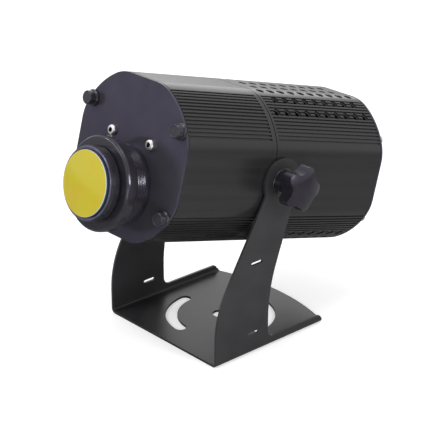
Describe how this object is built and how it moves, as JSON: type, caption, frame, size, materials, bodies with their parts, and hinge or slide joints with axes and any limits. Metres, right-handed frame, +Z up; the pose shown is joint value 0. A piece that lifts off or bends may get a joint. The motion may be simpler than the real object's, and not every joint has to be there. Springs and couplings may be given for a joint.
{
  "type": "water wave effect light",
  "caption": "Round, flat-sided water wave projector with a focusing lens and a turning rippled glass disc, tilting in a bent sheet bracket.",
  "frame": {"origin": "middle of the base plate's centre hole, in the plane of the base's underside", "axes": "+Z up, along the centre hole; -Y towards the lens end; +X towards the lamp's left as it looks forward, along the tilt axis"},
  "size_m": [0.2802, 0.424, 0.3435],
  "materials": {
    "black_powder": "satin black powder coat on steel sheet",
    "black_anodised": "semi-gloss black anodised extrusion",
    "black_cover": "black anodised plate with a faint violet cast",
    "black_turned": "satin black anodised turned aluminium",
    "bright_ring": "bright turned aluminium",
    "black_plastic": "black moulded plastic, fine grain",
    "zinc_steel": "zinc-plated steel",
    "black_steel": "black zinc-plated steel with bright worn edges",
    "black_rubber": "black sheet rubber",
    "amber_glass": "yellow coated optical glass",
    "clear_glass": "clear optical glass",
    "rippled_glass": "clear glass with a rippled surface",
    "steel_plate": "galvanised steel sheet",
    "brass_part": "turned brass",
    "acetal": "natural acetal",
    "motor_can": "pressed can, dull zinc finish",
    "plain_aluminium": "plain extruded aluminium",
    "led_ceramic": "white ceramic board with a yellow phosphor disc"
  },
  "bodies": {
    "bracket_body": {"bracket": "black_powder", "knob_washers": "black_steel"},
    "lamp_body": {"pivot_pads": "black_rubber", "pivot_nuts": "zinc_steel", "front_tube": "black_anodised", "joint_ring": "black_anodised", "rear_tube": "black_anodised", "front_cover": "black_cover", "front_gasket": "black_rubber", "rear_cover": "black_cover", "rear_gasket": "black_rubber", "rear_cover_screws": "zinc_steel", "drive_plate_screws": "zinc_steel", "lens_mount": "black_turned", "lens_mount_nut": "black_turned", "drive_plate": "steel_plate", "drive_standoffs": "brass_part", "standoff_screws": "zinc_steel", "ripple_glass": "rippled_glass", "glass_clips": "steel_plate", "wave_motor": "motor_can", "motor_screws": "zinc_steel", "shaft_bush": "brass_part", "condenser_housing": "black_turned", "condenser_front_lens": "clear_glass", "condenser_rear_lens": "clear_glass", "led_module": "led_ceramic", "heat_sink": "plain_aluminium", "heat_sink_screws": "zinc_steel", "fan_frame": "black_plastic", "fan_screws": "zinc_steel", "driver_bracket": "plain_aluminium", "led_driver": "plain_aluminium", "cable_gland": "black_plastic", "gland_nut": "black_plastic", "barrel_key": "zinc_steel", "light_engine_screws": "zinc_steel", "driver_screws": "zinc_steel", "terminal_block": "acetal"},
    "right_knob": {"side_knob_right": "black_plastic", "knob_stud_right": "zinc_steel"},
    "left_knob": {"side_knob_left": "black_plastic", "knob_stud_left": "zinc_steel"},
    "top_right_thumb": {"thumb_screw_top_right": "black_turned"},
    "top_left_thumb": {"thumb_screw_top_left": "black_turned"},
    "low_right_thumb": {"thumb_screw_low_right": "black_turned"},
    "low_left_thumb": {"thumb_screw_low_left": "black_turned"},
    "focus_collar": {"focus_ring": "black_turned"},
    "barrel": {"lens_barrel": "black_turned", "lens_ring": "bright_ring", "front_lens": "amber_glass", "rear_lens": "clear_glass", "rear_lens_ring": "black_turned"},
    "ripple_wheel": {"disc_gear": "acetal", "wave_disc": "rippled_glass", "disc_clamp": "plain_aluminium", "disc_shaft": "zinc_steel"},
    "motor_pinion": {"drive_pinion": "acetal", "motor_shaft": "zinc_steel"},
    "fan_wheel": {"fan_rotor": "black_plastic"}
  },
  "joints": [
    {"name": "lamp_tilt", "type": "hinge", "parent": "bracket_body", "child": "lamp_body", "pos_m": [0, 0.009, 0.211], "axis": [1, 0, 0], "range_deg": [-60, 55]},
    {"name": "right_knob_turn", "type": "hinge", "parent": "lamp_body", "child": "right_knob", "pos_m": [0, 0.009, 0.211], "axis": [1, 0, 0], "range_deg": [0, 360]},
    {"name": "left_knob_turn", "type": "hinge", "parent": "lamp_body", "child": "left_knob", "pos_m": [0, 0.009, 0.211], "axis": [-1, 0, 0], "range_deg": [0, 360]},
    {"name": "top_right_thumb_turn", "type": "hinge", "parent": "lamp_body", "child": "top_right_thumb", "pos_m": [0.07902, -0.12879, 0.30166], "axis": [0, -0.9636, 0.2672], "range_deg": [0, 360]},
    {"name": "top_left_thumb_turn", "type": "hinge", "parent": "lamp_body", "child": "top_left_thumb", "pos_m": [-0.07902, -0.12879, 0.30166], "axis": [0, -0.9636, 0.2672], "range_deg": [0, 360]},
    {"name": "low_right_thumb_turn", "type": "hinge", "parent": "lamp_body", "child": "low_right_thumb", "pos_m": [0.07902, -0.15579, 0.20426], "axis": [0, -0.9636, 0.2672], "range_deg": [0, 360]},
    {"name": "low_left_thumb_turn", "type": "hinge", "parent": "lamp_body", "child": "low_left_thumb", "pos_m": [-0.07902, -0.15579, 0.20426], "axis": [0, -0.9636, 0.2672], "range_deg": [0, 360]},
    {"name": "focus_turn", "type": "hinge", "parent": "lamp_body", "child": "focus_collar", "pos_m": [0, -0.15084, 0.22212], "axis": [0, -0.9636, 0.2672], "range_deg": [0, 240]},
    {"name": "barrel_slide", "type": "slide", "parent": "lamp_body", "child": "barrel", "axis": [0, -0.9636, 0.2672], "range_m": [0, 0.008]},
    {"name": "disc_spin", "type": "hinge", "parent": "lamp_body", "child": "ripple_wheel", "pos_m": [0, -0.08255, 0.25507], "axis": [0, -0.9636, 0.2672], "continuous": true},
    {"name": "pinion_spin", "type": "hinge", "parent": "lamp_body", "child": "motor_pinion", "pos_m": [0, -0.07266, 0.29072], "axis": [0, -0.9636, 0.2672], "continuous": true},
    {"name": "fan_spin", "type": "hinge", "parent": "lamp_body", "child": "fan_wheel", "pos_m": [0, 0.06414, 0.18533], "axis": [0, -0.9636, 0.2672], "continuous": true}
  ],
  "couplings": [
    {"joint": "barrel_slide", "follows": "focus_turn", "m_per_rad": 0.0019},
    {"joint": "pinion_spin", "follows": "disc_spin", "ratio": -3.1111}
  ]
}
